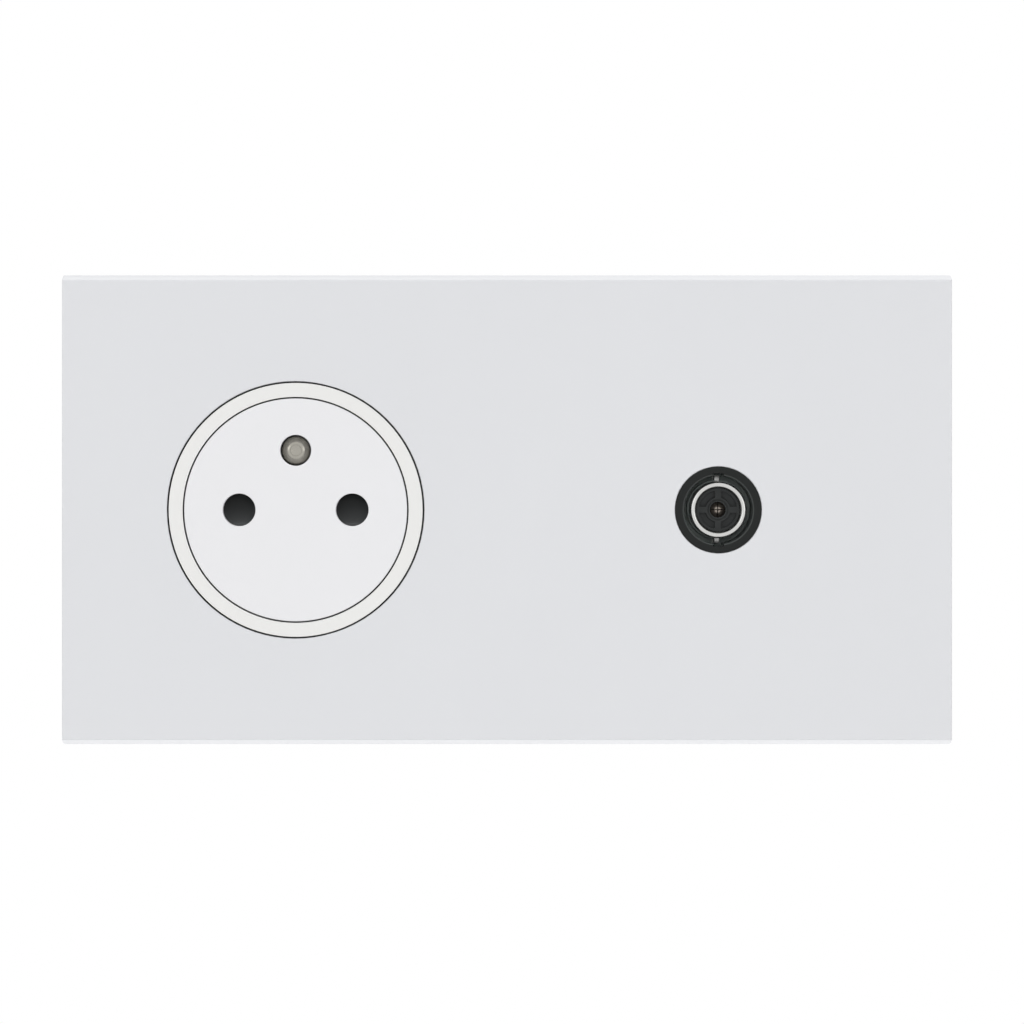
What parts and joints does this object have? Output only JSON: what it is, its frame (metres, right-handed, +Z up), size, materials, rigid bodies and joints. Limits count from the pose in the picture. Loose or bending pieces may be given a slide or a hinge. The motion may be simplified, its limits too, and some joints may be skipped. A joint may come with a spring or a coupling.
{
  "type": "combined TV and power socket",
  "caption": "Wide flush wall plate with a sinking-face round-pin power outlet beside a coaxial TV outlet, on a steel support frame with both mechanisms behind.",
  "frame": {"origin": "centre of the cover plate on the wall plane, which is the back of the plate's rim", "axes": "+Y into the wall, so the face looks along -Y; +X to the right along the plate's long side; +Z up"},
  "size_m": [0.1494, 0.0397, 0.079],
  "materials": {
    "plate_white": "satin",
    "white_moulding": "satin",
    "black_moulding": "fine matt",
    "dark_moulding": "matt",
    "plated_steel": "zinc plated",
    "screen_metal": "die-cast, as moulded",
    "brass_parts": "drawn",
    "nickel_parts": "nickel plated"
  },
  "bodies": {
    "housing": {"cover_plate": "plate_white", "support_frame": "plated_steel", "socket_collar": "white_moulding", "socket_base": "white_moulding", "rear_cover": "white_moulding", "body_screws": "plated_steel", "return_springs": "plated_steel", "earth_pin": "nickel_parts", "earth_strap": "brass_parts", "line_contact": "brass_parts", "neutral_contact": "brass_parts", "line_terminal": "brass_parts", "neutral_terminal": "brass_parts", "earth_terminal": "brass_parts", "terminal_screws": "plated_steel", "tv_front": "black_moulding", "tv_sleeve": "nickel_parts", "tv_insulator": "dark_moulding", "tv_centre_contact": "brass_parts", "tv_core_terminal": "brass_parts", "tv_core_screw": "plated_steel", "tv_housing": "screen_metal", "tv_braid_clamp": "plated_steel", "tv_clamp_screw": "plated_steel", "tv_shield_cover": "plated_steel"},
    "face": {"face_disc": "white_moulding", "shutter_cage": "dark_moulding", "shutter_spring": "plated_steel"},
    "shutter": {"shutter": "dark_moulding"}
  },
  "joints": [
    {"name": "disc_press", "type": "slide", "parent": "housing", "child": "face", "axis": [0, 1, 0], "range_m": [0, 0.015], "stiffness_N_per_m": 300, "springref_m": -0.01, "deforming": ["return_springs"]},
    {"name": "shutter_slide", "type": "slide", "parent": "face", "child": "shutter", "axis": [0, 0, -1], "range_m": [0, 0.006], "stiffness_N_per_m": 60, "springref_m": -0.004, "deforming": ["shutter_spring"]}
  ]
}
